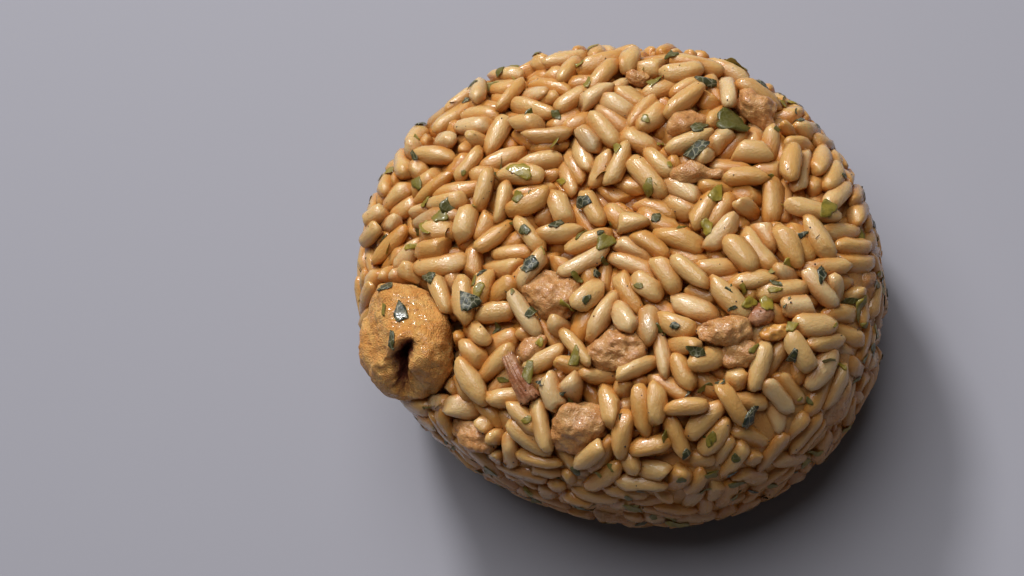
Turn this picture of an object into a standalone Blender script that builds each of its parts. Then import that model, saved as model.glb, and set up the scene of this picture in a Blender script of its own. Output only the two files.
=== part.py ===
"""Onigiri: one moulded ball of seasoned rice, with a folded piece of fried chicken in its
shoulder and six lumps of minced chicken in its top.

Lengths are in metres, +Z is up, and the origin is the middle of the flat foot that the ball rests on.
The ball is longest along X. Every piece is one closed solid, and the lumps sit in pockets of the rice.
"""

import math

import bmesh
import bpy
from mathutils import Matrix, Vector, noise

MM = 0.001

# Driving sizes of the rice ball
LENGTH = 74.4 * MM  # longest side, along X
WIDTH = 66.0 * MM  # along Y
THICKNESS = 36.4 * MM  # from dome to dome, before the foot is pressed flat
FOOT_PRESS = 0.9 * MM  # how much of the lower dome the board flattens
SQUARENESS = 3.45  # exponent of the section: 2 is an ellipse, more is a flatter top and wall
THREE_SIDED = 0.015  # share by which the outline leans towards three sides
THREE_SIDED_TURN = math.radians(-33)

# Unevenness that the grains give the outline
GRAIN_PITCH = 5.2 * MM
TOP_RELIEF = 2.0 * MM
WALL_RELIEF = 0.9 * MM
MEAN_CELL_REACH = 0.42  # mean distance to a lump's middle, in pitches
BALL_SUBDIVISIONS = 5

# Fit of the pieces in the rice
POCKET_GAP = 0.40 * MM
CUTTER_COARSER = 1  # subdivisions that a pocket's cutter does without
CUTTER_SWELL = 1.06  # makes up for the flat faces of the coarser cutter

# The fried piece. Its place is a compass angle about Z and a share of the way out to the rim.
FRIED_ANGLE = math.radians(-131)
FRIED_SHARE = 0.88
FRIED_SIZE = Vector((15.4, 15.0, 10.0)) * MM  # along its fold, across it, thick
FRIED_PROUD = 2.6 * MM
FRIED_HEADING = math.radians(-52)
FRIED_SUBDIVISIONS = 4

# Minced lumps: name, angle, share of the way to the rim, (long, wide, thick), heading, how far proud
MINCED_SUBDIVISIONS = 3
MINCED_LUMPS = (
    ("minced_lump_centre", -97, 0.32, (8.6, 6.2, 5.0), -8, 0.55),
    ("minced_lump_front", -55, 0.51, (7.2, 5.4, 4.8), 28, 0.75),
    ("minced_lump_side", -18, 0.63, (7.6, 4.2, 4.4), 20, 0.90),
    ("minced_lump_near", -71, 0.82, (7.8, 6.6, 5.2), 30, 0.70),
    ("minced_lump_back", 64, 0.83, (7.0, 4.6, 4.4), -20, 0.90),
    ("minced_lump_edge", -101, 0.97, (8.4, 4.2, 4.0), 4, 0.55),
)

CENTRE = Vector((0, 0, THICKNESS / 2 - FOOT_PRESS))
HALF_HEIGHT = THICKNESS / 2
MEAN_RADIUS = (LENGTH + WIDTH) / 4
OVAL = (LENGTH - WIDTH) / (LENGTH + WIDTH)


# ---------------------------------------------------------------- the form of the ball


def rim_radius(angle):
    """The ball's radius seen from above, in the direction of that angle."""
    oval = OVAL * math.cos(2 * angle)
    three = THREE_SIDED * math.cos(3 * (angle - THREE_SIDED_TURN))
    return MEAN_RADIUS * (1 + oval + three)


def on_ball(direction):
    """Where a ray from the ball's centre leaves its smooth form."""
    out = math.hypot(direction.x, direction.y) / rim_radius(math.atan2(direction.y, direction.x))
    up = abs(direction.z) / HALF_HEIGHT
    return direction * (out**SQUARENESS + up**SQUARENESS) ** (-1 / SQUARENESS)


def outward_at(point):
    """The smooth form's normal at a point given from the ball's centre."""
    angle = math.atan2(point.y, point.x)
    radius = rim_radius(angle)
    out = (math.hypot(point.x, point.y) / radius) ** (SQUARENESS - 1) / radius
    up = (abs(point.z) / HALF_HEIGHT) ** (SQUARENESS - 1) / HALF_HEIGHT
    return Vector((out * math.cos(angle), out * math.sin(angle), math.copysign(up, point.z))).normalized()


def on_top(angle, share):
    """A point of the smooth top or shoulder: a share of the way out to the rim along an angle."""
    out = share * rim_radius(angle)
    up = HALF_HEIGHT * (1 - share**SQUARENESS) ** (1 / SQUARENESS)
    return Vector((out * math.cos(angle), out * math.sin(angle), up))


def grain_relief(point, outward):
    """Rounded lumps a grain apart, high on the top, low on the pressed wall, none under the foot."""
    nearest = noise.voronoi(point / GRAIN_PITCH)[0][0]
    top_share = max(0.0, min(1.0, outward.z * 1.6))
    depth = WALL_RELIEF + (TOP_RELIEF - WALL_RELIEF) * top_share
    under = max(0.0, min(1.0, 1 + outward.z * 1.4))
    return depth * under * (MEAN_CELL_REACH - nearest)


# ---------------------------------------------------------------- helpers


def material(name, colour, roughness):
    made = bpy.data.materials.new(name)
    made.use_nodes = True
    shader = made.node_tree.nodes["Principled BSDF"]
    shader.inputs["Base Color"].default_value = (*colour, 1)
    shader.inputs["Roughness"].default_value = roughness
    shader.inputs["Metallic"].default_value = 0
    made.diffuse_color = (*colour, 1)
    return made


def new_object(name, bm, collection, finish):
    mesh = bpy.data.meshes.new(name)
    bm.to_mesh(mesh)
    bm.free()
    mesh.shade_smooth()
    obj = bpy.data.objects.new(name, mesh)
    obj.data.materials.append(finish)
    collection.objects.link(obj)
    return obj


def new_collection(name):
    made = bpy.data.collections.new(name)
    bpy.context.scene.collection.children.link(made)
    return made


def seat(angle, share, heading, sunk):
    """The frame of a piece in the rice: Z out of the ball, X turned by heading, origin sunk below the surface."""
    point = on_top(angle, share)
    outward = outward_at(point)
    along = Vector((math.cos(heading), math.sin(heading), 0))
    along = (along - outward * along.dot(outward)).normalized()
    turn = Matrix((along, outward.cross(along), outward)).transposed().to_4x4()
    return Matrix.Translation(CENTRE + point - outward * sunk) @ turn


# ---------------------------------------------------------------- the sub-parts


def rice_ball(collection, finish):
    """The whole heap of rice as one solid, out to its uneven outline, on a foot pressed flat."""
    bm = bmesh.new()
    bmesh.ops.create_icosphere(bm, subdivisions=BALL_SUBDIVISIONS, radius=1)
    for vertex in bm.verts:
        point = on_ball(vertex.co.normalized())
        outward = outward_at(point)
        vertex.co = CENTRE + point + outward * grain_relief(point, outward)
    cut = bmesh.ops.bisect_plane(
        bm,
        geom=bm.verts[:] + bm.edges[:] + bm.faces[:],
        plane_co=(0, 0, 0),
        plane_no=(0, 0, -1),
        clear_outer=True,
    )
    rim = [item for item in cut["geom_cut"] if isinstance(item, bmesh.types.BMEdge)]
    bmesh.ops.edgeloop_fill(bm, edges=rim)
    bmesh.ops.recalc_face_normals(bm, faces=bm.faces[:])
    return new_object("rice_ball", bm, collection, finish)


def minced_lump(name, place, size, seed, collection, finish, grow=0.0):
    """One crumb of cooked mince: a rounded lump with soft knobs. grow makes its pocket's cutter."""
    is_cutter = grow > 0
    coarser, swell = (CUTTER_COARSER, CUTTER_SWELL) if is_cutter else (0, 1)
    bm = bmesh.new()
    bmesh.ops.create_icosphere(bm, subdivisions=MINCED_SUBDIVISIONS - coarser, radius=1)
    for vertex in bm.verts:
        direction = vertex.co.normalized()
        knob = 0.20 * noise.noise(direction * 1.5 + Vector((seed, 0, 0)))
        knob += 0.07 * noise.noise(direction * 3.4 + Vector((0, seed, 0)))
        on_form = Vector([direction[i] * size[i] / 2 * (1 + knob) * swell for i in range(3)])
        vertex.co = place @ (on_form + direction * grow)
    return new_object(name, bm, collection, finish)


def bump(direction, towards, width):
    """1 in the direction of towards, falling smoothly to 0 about width radians away."""
    return math.exp(-((direction.angle(Vector(towards)) / width) ** 2))


def fried_form(direction, with_folds):
    """How far out the fried piece's skin lies, as a share of its half sizes."""
    share = 1 + 0.13 * noise.noise(direction * 1.7 + Vector((4.0, 1.0, 7.0)))
    share += 0.06 * noise.noise(direction * 3.8 + Vector((1.0, 9.0, 2.0)))
    share += 0.20 * bump(direction, (0.55, 0.80, 0.30), 0.55)  # the rolled lobe
    share += 0.16 * bump(direction, (-0.95, 0.10, 0.35), 0.50)  # the flap's far corner
    share += 0.10 * bump(direction, (-0.20, -0.90, 0.25), 0.55)  # the flap's outer edge
    if with_folds:
        share -= 0.36 * bump(direction, (0.66, 0.16, 0.80), 0.27)  # the pit between flap and lobe
        share -= 0.22 * bump(direction, (0.95, 0.10, 0.30), 0.30)  # the fold that runs out of it
        share -= 0.10 * bump(direction, (-0.35, 0.05, 0.95), 0.30)  # the dip across the flap
    return share


def fried_piece(place, collection, finish, grow=0.0):
    """The folded piece of fried chicken. Its pocket's cutter has no folds, so that it clears them all."""
    is_cutter = grow > 0
    coarser, swell = (CUTTER_COARSER, CUTTER_SWELL) if is_cutter else (0, 1)
    bm = bmesh.new()
    bmesh.ops.create_icosphere(bm, subdivisions=FRIED_SUBDIVISIONS - coarser, radius=1)
    for vertex in bm.verts:
        direction = vertex.co.normalized()
        share = fried_form(direction, with_folds=not is_cutter)
        on_form = Vector([direction[i] * FRIED_SIZE[i] / 2 * share * swell for i in range(3)])
        vertex.co = place @ (on_form + direction * grow)
    name = "fried_pocket_cutter" if is_cutter else "fried_chicken"
    return new_object(name, bm, collection, finish)


def cut_pocket(body, cutter):
    cutter.hide_render = True
    cutter.display_type = "WIRE"
    pocket = body.modifiers.new(cutter.name, "BOOLEAN")
    pocket.operation = "DIFFERENCE"
    pocket.solver = "EXACT"
    pocket.object = cutter


def main():
    for obj in list(bpy.data.objects):
        bpy.data.objects.remove(obj)

    parts = new_collection("onigiri")
    cutters = new_collection("onigiri_cutters")
    rice = material("soy_stained_rice", (0.56, 0.31, 0.11), 0.35)
    fried = material("fried_crust", (0.52, 0.21, 0.055), 0.5)
    minced = material("minced_chicken", (0.42, 0.17, 0.07), 0.45)

    ball = rice_ball(parts, rice)

    place = seat(FRIED_ANGLE, FRIED_SHARE, FRIED_HEADING, FRIED_SIZE.z / 2 - FRIED_PROUD)
    fried_piece(place, parts, fried)
    cut_pocket(ball, fried_piece(place, cutters, rice, POCKET_GAP))

    for seed, (name, angle, share, size, heading, proud) in enumerate(MINCED_LUMPS):
        size = Vector(size) * MM
        place = seat(math.radians(angle), share, math.radians(heading), size.z / 2 - proud * MM)
        minced_lump(name, place, size, seed * 3.7, parts, minced)
        cut_pocket(ball, minced_lump(name + "_pocket", place, size, seed * 3.7, cutters, rice, POCKET_GAP))


main()
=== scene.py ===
# %% [markdown]
# # A rice ball with chicken, grain by grain
# A moulded rice ball is a heap of cooked grains that stick to each other, with meat, herbs and
# pepper mixed in before it is pressed. The solid model knows only its outline, so this lesson
# fills that outline with real grains: light then finds the gaps, the ends and the broken gloss
# that a painted surface can't have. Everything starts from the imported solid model, which is loaded
# once and is never moved.

# %% Load the fixed frame
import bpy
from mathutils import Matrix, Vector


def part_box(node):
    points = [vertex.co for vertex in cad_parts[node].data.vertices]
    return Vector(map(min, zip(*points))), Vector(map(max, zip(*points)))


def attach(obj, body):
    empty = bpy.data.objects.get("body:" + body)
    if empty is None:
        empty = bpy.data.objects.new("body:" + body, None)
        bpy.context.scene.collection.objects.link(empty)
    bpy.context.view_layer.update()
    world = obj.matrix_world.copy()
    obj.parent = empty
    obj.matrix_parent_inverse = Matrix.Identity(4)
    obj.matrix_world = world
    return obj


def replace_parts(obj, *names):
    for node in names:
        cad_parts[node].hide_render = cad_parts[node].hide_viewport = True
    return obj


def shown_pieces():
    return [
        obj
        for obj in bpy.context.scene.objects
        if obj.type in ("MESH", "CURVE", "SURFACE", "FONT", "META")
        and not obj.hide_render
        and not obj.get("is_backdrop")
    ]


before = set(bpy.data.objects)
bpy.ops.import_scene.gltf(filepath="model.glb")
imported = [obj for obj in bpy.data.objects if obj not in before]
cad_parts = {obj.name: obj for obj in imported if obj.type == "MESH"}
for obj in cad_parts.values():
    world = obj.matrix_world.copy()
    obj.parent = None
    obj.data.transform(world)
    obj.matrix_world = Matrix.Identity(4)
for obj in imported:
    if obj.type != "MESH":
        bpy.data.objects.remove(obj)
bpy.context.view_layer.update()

# %% [markdown]
# A heap of rice is full of chance, but the lesson has to give the same heap each time.
# One seeded generator serves every random choice, and every length is written in millimetres.

# %% Tools, units and one source of chance
import math

import bmesh
import bpy
import numpy as np
from mathutils import Matrix, Vector, noise
from mathutils.bvhtree import BVHTree

MM = 0.001
BODY = "root"  # nothing on a rice ball moves, so the frame has one body
chance = np.random.default_rng(7)

# %% [markdown]
# ## The mould
# The frame's rice node is the mould: no grain may stand far out of it. Its triangles come loose, so a
# copy is merged before it is used, and one level of subdivision rounds its facets.
# A BVH tree then answers the question that the lesson asks again and again: how deep under the
# skin does this point lie, and which way is out?

# %% Merge a copy of a frame node and round it
MERGE_WITHIN = 0.002 * MM


def merged_copy(node):
    """A bmesh of a frame node with its loose triangles joined at their corners."""
    bm = bmesh.new()
    bm.from_mesh(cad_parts[node].data)
    bmesh.ops.remove_doubles(bm, verts=bm.verts[:], dist=MERGE_WITHIN)
    return bm


def rounded(bm, levels):
    """The bmesh after that many levels of subdivision."""
    mesh = bpy.data.meshes.new("to_round")
    bm.to_mesh(mesh)
    bm.free()
    holder = bpy.data.objects.new("to_round", mesh)
    bpy.context.scene.collection.objects.link(holder)
    subdivision = holder.modifiers.new("round", "SUBSURF")
    subdivision.levels = levels
    subdivision.render_levels = levels
    result = bmesh.new()
    result.from_object(holder, bpy.context.evaluated_depsgraph_get())
    bpy.data.objects.remove(holder)
    bpy.data.meshes.remove(mesh)
    return result


mould = rounded(merged_copy("rice_ball"), 1)
mould_tree = BVHTree.FromBMesh(mould)
mould_low, mould_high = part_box("rice_ball")
middle_height = (mould_low.z + mould_high.z) / 2
centre = Vector((0, 0, middle_height))
print("Mould:", len(mould.faces), "faces, middle height", round(1000 * middle_height, 1), "mm")

# %% [markdown]
# Every grain, flake and speck is placed by its depth under the skin, so that question is asked
# through one function. The meat of the frame gets a tree of its own, as grains lean on it.

# %% Ask how deep points lie
def under_skin(points):
    """For each point, its depth under the mould's skin, negative outside it, and the way out."""
    depth, outward = np.empty(len(points)), np.empty((len(points), 3))
    for i, (x, y, z) in enumerate(points):
        near, way, _, distance = mould_tree.find_nearest((x, y, z))
        inside = (near.x - x) * way.x + (near.y - y) * way.y + (near.z - z) * way.z
        depth[i] = math.copysign(distance, inside)
        outward[i] = way
    return depth, outward


def merged_tree(nodes):
    """One BVH tree of several frame nodes."""
    together = bmesh.new()
    for node in nodes:
        together.from_mesh(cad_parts[node].data)
    tree = BVHTree.FromBMesh(together)
    together.free()
    return tree


meat_tree = merged_tree([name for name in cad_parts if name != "rice_ball"])


def meat_distance(points):
    """How far each point is from the nearest piece of meat of the frame."""
    return np.array([meat_tree.find_nearest(tuple(point))[3] for point in points])


print("The centre lies", round(1000 * under_skin([centre])[0][0], 1), "mm deep")

# %% [markdown]
# ## What is mixed in
# Besides the pieces that are nodes of the frame, smaller bits of meat lie in the rice, and one
# crumb of egg. The grains have to leave room for them, so they are listed before the grains are
# placed. Where they lie is told from the frame: so many millimetres beside one of its lumps, or at
# a height of the wall. Directions are compass angles seen from above, 0 along +X and 90 along +Y.

# %% List the small bits
def beside(node, compass, reach):
    """A place in mm above the rice, at a compass angle and a distance from a node of the frame."""
    low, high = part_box(node)
    turn = math.radians(compass)
    middle = (low + high) / 2 / MM
    x = middle.x + reach * math.cos(turn)
    y = middle.y + reach * math.sin(turn)
    return Vector((x, y, high.z / MM + 2))


def by_wall(compass, height):
    """A place in mm just outside the wall, at a compass angle and a height."""
    turn = math.radians(compass)
    return Vector((40 * math.cos(turn), 40 * math.sin(turn), height))


# name: where, (long, wide, thick), heading, how far its top stands out
MIXED_IN = {
    "meat_bean": (beside("minced_lump_back", -100, 13), (7.5, 2.7, 2.6), 20, 0.5),
    "meat_back": (beside("minced_lump_back", -140, 9), (5.2, 3.8, 3.2), 40, 0.1),
    "meat_red": (beside("minced_lump_side", 35, 5), (3.6, 2.6, 2.6), 70, 0.3),
    "meat_tan": (beside("minced_lump_side", -35, 4), (4.6, 3.8, 3.0), 20, 0.0),
    "meat_under": (beside("minced_lump_centre", -80, 9), (4.2, 2.6, 2.6), 60, -0.3),
    "meat_rim": (beside("minced_lump_back", 180, 17), (3.6, 2.8, 2.6), 10, 0.1),
    "meat_wall": (by_wall(-10, 20), (9.0, 6.0, 3.0), 15, 0.0),
    "meat_far": (by_wall(15, 24), (4.0, 3.0, 2.6), 60, 0.1),
    "meat_left": (by_wall(170, 27), (4.6, 3.2, 2.8), 30, 0.2),
    "meat_behind": (by_wall(115, 20), (6.4, 4.2, 3.0), 20, 0.1),
    "meat_low": (by_wall(-70, 12), (5.0, 3.6, 2.8), -15, 0.0),
    "shred": (beside("minced_lump_centre", -85, 14), (6.6, 2.8, 1.5), -42, 0.7),
    "egg": (beside("minced_lump_side", 10, 7), (4.0, 2.4, 2.2), 35, 0.3),
}


def skin_frame(place, heading, sunk, tree=mould_tree):
    """A frame sunk below the skin at a place: X along the heading, Z out of the ball."""
    near, way, _, _ = tree.find_nearest(Vector(place) * MM)
    start = Vector((1, 0, 0)) if abs(way.x) < 0.9 else Vector((0, 1, 0))
    start = (start - way * start.dot(way)).normalized()
    along = Matrix.Rotation(math.radians(heading), 3, way) @ start
    turn = Matrix((along, way.cross(along), way)).transposed().to_4x4()
    return Matrix.Translation(near - way * sunk * MM) @ turn


bit_frames = {
    name: skin_frame(place, heading, size[2] / 2 - proud)
    for name, (place, size, heading, proud) in MIXED_IN.items()
}
print("Bits mixed in:", len(bit_frames))

# %% [markdown]
# ## Where the grains lie
# Cooked short-grain rice is 7 to 8 mm long and a little over 3 mm thick. For packing, a grain is a
# capsule: a line with a radius. A shell under the skin is filled with them, because deeper grains never
# show. They start at random places that keep a small distance. Pressing turns grains along
# the skin, and neighbours tend to point the same way, so the heading comes from a slow noise
# field, with some scatter, some tilt, and a few that stand upright and show an end.

# %% Scatter the capsules
GRAIN_LENGTH = 7.0 * MM
GRAIN_WIDTH = 3.3 * MM
SHELL_DEPTH = 6.4 * MM
START_SPACING = 2.42 * MM
START_TRIES = 60000
HEADING_PITCH = 8 * MM
HEADING_TURNS = 3.3 * math.pi
HEADING_SCATTER = math.radians(30)
TILT_SCATTER = math.radians(14)
UPRIGHT_SHARE = 0.06


def scattered_starts():
    """Points in the shell that keep START_SPACING from each other, and the way out at each."""
    tries = chance.uniform(mould_low, mould_high, (START_TRIES, 3))
    depth, outward = under_skin(tries)
    fits = (depth > 0.9 * MM) & (depth < SHELL_DEPTH)
    kept, ways = np.empty((0, 3)), []
    for point, way in zip(tries[fits], outward[fits]):
        if len(kept) and ((kept - point) ** 2).sum(axis=1).min() < START_SPACING**2:
            continue
        kept = np.vstack((kept, point))
        ways.append(way)
    return kept, np.array(ways)


def first_directions(points, outward):
    """Unit vectors mostly along the skin, which neighbours share more or less."""
    made = []
    for point, way in zip(points, outward):
        way = Vector(way)
        side = way.cross(Vector((0.31, 0.95, 0.11))).normalized()
        turn = HEADING_TURNS * noise.noise(Vector(point) / HEADING_PITCH)
        turn += chance.normal(0, HEADING_SCATTER)
        tilt = chance.normal(0, TILT_SCATTER)
        if chance.random() < UPRIGHT_SHARE:
            tilt = chance.uniform(0.8, 1.5)
        along = side * math.cos(turn) + way.cross(side) * math.sin(turn)
        made.append(along * math.cos(tilt) + way * math.sin(tilt))
    return np.array(made)


grain_middle, start_outward = scattered_starts()
grain_along = first_directions(grain_middle, start_outward)
grains = len(grain_middle)
grain_long = GRAIN_LENGTH * np.clip(chance.normal(1, 0.10, grains), 0.70, 1.20)
grain_wide = GRAIN_WIDTH * np.clip(chance.normal(1, 0.09, grains), 0.76, 1.18)
grain_thick = grain_wide * chance.uniform(0.80, 0.97, grains)
grain_radius = (grain_wide + grain_thick) / 4
print(grains, "grains in the shell")

# %% [markdown]
# ## Pressing them together
# Real grains are pushed until they touch and then give a little. The same happens here in small
# rounds: every pair that overlaps is moved apart at its nearest points, grains that leave the mould
# are pushed back, and grains that touch and are nearly parallel turn a little towards each other.
# Each capsule is moved by its two ends, so a push near one end also turns it. The bits of meat take
# part as capsules that don't move.
# A physics engine could do this too, but seventy rounds of array arithmetic take only seconds.

# %% Find the nearest points of two lines
def nearest_on_lines(start_a, end_a, start_b, end_b):
    """For pairs of line pieces, the shares along a and along b where they come closest."""
    run_a, run_b, gap = end_a - start_a, end_b - start_b, start_a - start_b
    aa = (run_a * run_a).sum(axis=1)
    bb = (run_b * run_b).sum(axis=1)
    ab = (run_a * run_b).sum(axis=1)
    a_gap = (run_a * gap).sum(axis=1)
    b_gap = (run_b * gap).sum(axis=1)
    spread = aa * bb - ab * ab
    parallel = spread < 1e-3 * aa * bb
    share_a = np.where(parallel, 0.5, (ab * b_gap - a_gap * bb) / np.where(parallel, 1, spread))
    share_a = np.clip(share_a, 0, 1)
    share_b = np.clip((ab * share_a + b_gap) / bb, 0, 1)
    share_a = np.clip((ab * share_b - a_gap) / aa, 0, 1)
    return share_a, share_b


def close_pairs(middle, reach):
    """Pairs of capsules whose middles lie within reach of each other."""
    apart = ((middle[:, None] - middle[None]) ** 2).sum(axis=2)
    first, second = np.nonzero(apart < reach**2)
    return first[first < second], second[first < second]


# %% [markdown]
# A rice mould presses its wall and foot flat, while the top is only patted by hand. Some patches
# of the wall come away with the mould, and grains stand out there.

# %% Settle the heap
ROUNDS = 70
GIVE = 0.75  # the share of two radii at which grains stop pressing on each other
ALIGN = 0.03
REACH = 1.2 * GRAIN_LENGTH
PRESSED_BELOW = 0.55  # skin whose normal's Z is under this was pressed by the mould's wall
PRESSED_BLEND = 0.30
LOOSE_PITCH, LOOSEST = 9 * MM, 0.45  # patches of the wall that came away from the mould
PRESSED_SINK = 0.40  # share of its radius that a pressed grain loses to the wall
LEAN_OVER_MEAT = 0.95 * MM  # how far a grain may reach over the edge of a piece of meat


def pressed_share(points, outward):
    """1 where the wall or the board pressed the rice flat, 0 on the top, which was only patted."""
    loose = np.array([noise.noise(Vector(point) / LOOSE_PITCH) for point in points])
    loose = LOOSEST * np.clip(2.5 * loose, 0, 1) * (outward[:, 2] > -PRESSED_BELOW)
    return np.clip((PRESSED_BELOW - outward[:, 2]) / PRESSED_BLEND, 0, 1) * (1 - loose)


def push_ends(ends, who, share, push):
    """Moves the two ends of each capsule so that its point at share moves by push."""
    near, far = 1 - share, share
    scale = 1 / (near**2 + far**2)
    moves = np.zeros_like(ends)
    np.add.at(moves[:, 0], who, push * (near * scale)[:, None])
    np.add.at(moves[:, 1], who, push * (far * scale)[:, None])
    crowd = np.maximum(1, 0.45 * np.bincount(who, minlength=len(ends)))
    ends += moves / crowd[:, None, None]


def push_apart(ends, first, second, radius):
    """Moves overlapping pairs apart, and returns which pairs touch and the mean overlap."""
    a, b = ends[first], ends[second]
    share_a, share_b = nearest_on_lines(a[:, 0], a[:, 1], b[:, 0], b[:, 1])
    point_a = a[:, 0] + (a[:, 1] - a[:, 0]) * share_a[:, None]
    point_b = b[:, 0] + (b[:, 1] - b[:, 0]) * share_b[:, None]
    between = point_a - point_b
    apart = np.maximum(np.linalg.norm(between, axis=1), 1e-6)
    overlap = np.maximum(0, GIVE * (radius[first] + radius[second]) - apart)
    hit = overlap > 0
    push = between[hit] * (0.5 * overlap[hit] / apart[hit])[:, None]
    push_ends(ends, first[hit], share_a[hit], push)
    push_ends(ends, second[hit], share_b[hit], -push)
    return hit, overlap[hit].mean()


def lean_together(along, first, second, hit):
    """Turns touching, nearly parallel capsules a little towards each other."""
    agree = (along[first] * along[second]).sum(axis=1)
    pull = hit & (np.abs(agree) > 0.75)
    sign = np.sign(agree[pull])[:, None]
    lean = np.zeros_like(along)
    np.add.at(lean, first[pull], along[second[pull]] * sign)
    np.add.at(lean, second[pull], along[first[pull]] * sign)
    return along + ALIGN * lean


def keep_in_mould(middle, along, half, radius, proud):
    """Pushes capsules back under the skin, at both ends and in the middle, and out of the core."""
    for side in (-1, 0, 1):
        spots = middle + side * along * half
        depth, outward = under_skin(spots)
        pressed = pressed_share(spots, outward)
        least = radius * (1 - PRESSED_SINK * pressed) - proud * (1 - pressed)
        by_meat = meat_distance(spots) < np.abs(depth) + 0.9 * MM
        least = np.where(by_meat, radius - LEAN_OVER_MEAT, least)
        shift = np.minimum(0, depth - least) + np.maximum(0, depth - SHELL_DEPTH)
        shift = outward * shift[:, None]
        middle = middle + shift * (1.0 if side == 0 else 0.5)
        along = along + side * shift * 0.5 / half
    return middle, along


def unit(vectors):
    """The same directions, one unit long."""
    return vectors / np.linalg.norm(vectors, axis=1)[:, None]


def settle(middle, along, half, radius, proud, fixed):
    """Presses capsules together inside the mould. The last ones, as many as fixed, stay put."""
    rest_middle, rest_along = middle[-fixed:].copy(), along[-fixed:].copy()
    for turn in range(ROUNDS):
        if turn % 6 == 0:
            first, second = close_pairs(middle, REACH)
        ends = np.stack((middle - along * half, middle + along * half), axis=1)
        hit, overlap = push_apart(ends, first, second, radius)
        middle = ends.mean(axis=1)
        along = unit(lean_together(unit(ends[:, 1] - ends[:, 0]), first, second, hit))
        if turn % 2 == 1:
            middle, along = keep_in_mould(middle, along, half, radius, proud)
            along = unit(along)
        middle[-fixed:], along[-fixed:] = rest_middle, rest_along
    print("Mean overlap of touching grains, mm:", round(1000 * overlap, 2))
    return middle, along


# %% [markdown]
# In a real ball some grains lie on top of the others and show whole, and the rest fill in between.
# Each grain therefore gets its own height out of the skin before the pressing starts.

# %% Let grains and bits share the shell
HIGH_SHARE = 0.55  # grains that lie on top of the others; the rest fill in between them
bit_sizes = np.array([size for _, size, _, _ in MIXED_IN.values()]) * MM
bit_middle = np.array([place.translation for place in bit_frames.values()])
bit_along = np.array([place.col[0][:3] for place in bit_frames.values()])
bit_radius = bit_sizes[:, 1] / 2
bit_half = np.maximum(bit_sizes[:, 0] / 2 - bit_radius, 0.2 * MM)

proud = np.where(
    chance.random(grains) < HIGH_SHARE,
    np.clip(chance.normal(0.50, 0.35, grains), -0.3, 1.1),
    chance.uniform(-1.6, -0.1, grains),
) * MM
half = np.concatenate((grain_long / 2 - grain_radius, bit_half))[:, None]
settled_middle, settled_along = settle(
    np.concatenate((grain_middle, bit_middle)),
    np.concatenate((grain_along, bit_along)),
    half,
    np.concatenate((grain_radius, bit_radius)),
    np.concatenate((proud, np.zeros(len(bit_middle)))),
    fixed=len(bit_middle),
)
grain_middle, grain_along = settled_middle[:grains], settled_along[:grains]
grain_depth, grain_outward = under_skin(grain_middle)
print("Grains within 2 mm of the skin:", int((grain_depth < 2 * MM).sum()))

# %% [markdown]
# ## The shape of one grain
# A cooked grain is a long drop, fuller on one side, with a small slanting notch where its germ
# was. Some are broken and show a blunt end. Each form is a small UV sphere, pulled into shape in
# a unit box: Z runs along the grain, and one unit is its length, its width or its thickness.
# The sphere has fewer than a hundred faces, because it is repeated more than a thousand times. Smooth
# shading and a faint bump do the rest.

# %% Model the grain forms
AROUND, RINGS = 12, 8
BLUNTNESS = 0.74  # exponent that squares the ends: 1 is an ellipse
FLAT_FLANK = 0.86


def grain_form(taper=0.0, curve=0.0, notch=0.0, waist=0.0, facets=0.0, cut_at=None):
    """A bmesh of one grain in the unit box. cut_at is the height of a broken end."""
    bm = bmesh.new()
    bmesh.ops.create_uvsphere(bm, u_segments=AROUND, v_segments=RINGS, radius=1)
    for vertex in bm.verts:
        height = math.copysign(abs(vertex.co.z) ** BLUNTNESS, vertex.co.z)
        out = math.hypot(vertex.co.x, vertex.co.y)
        angle = math.atan2(vertex.co.y, vertex.co.x)
        swell = out ** (BLUNTNESS - 1) if out > 0.01 else 0
        swell *= 1 + taper * height - waist * math.exp(-((height / 0.35) ** 2))
        swell *= 1 + facets * math.cos(3 * angle + 1) - 0.5 * facets * math.cos(5 * angle)
        x, y = vertex.co.x * swell, vertex.co.y * swell
        if y < 0:
            y *= FLAT_FLANK
        if height > 0.4 and y > 0:
            y *= 1 - notch * (height - 0.4) / 0.6
        y += curve * (0.5 - height * height)
        vertex.co = Vector((x, y, height)) / 2
    if cut_at is not None:
        break_end(bm, cut_at)
    bmesh.ops.recalc_face_normals(bm, faces=bm.faces[:])
    return bm


def break_end(bm, height):
    """Cuts the grain off at that height, a little askew, and closes it with a domed end."""
    whole = bm.verts[:] + bm.edges[:] + bm.faces[:]
    cut = bmesh.ops.bisect_plane(
        bm, geom=whole, plane_co=(0, 0, height), plane_no=(0.25, 0.1, 1), clear_outer=True
    )
    rim = [item for item in cut["geom_cut"] if isinstance(item, bmesh.types.BMEdge)]
    lid = bmesh.ops.edgeloop_fill(bm, edges=rim)["faces"]
    bmesh.ops.inset_region(bm, faces=lid, thickness=0.09, depth=0.03)


def as_arrays(bm):
    """The bmesh as an array of points and a list of faces. It frees the bmesh."""
    points = np.array([vertex.co[:] for vertex in bm.verts])
    bm.verts.index_update()
    faces = [[vertex.index for vertex in face.verts] for face in bm.faces]
    bm.free()
    return points, faces


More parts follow.
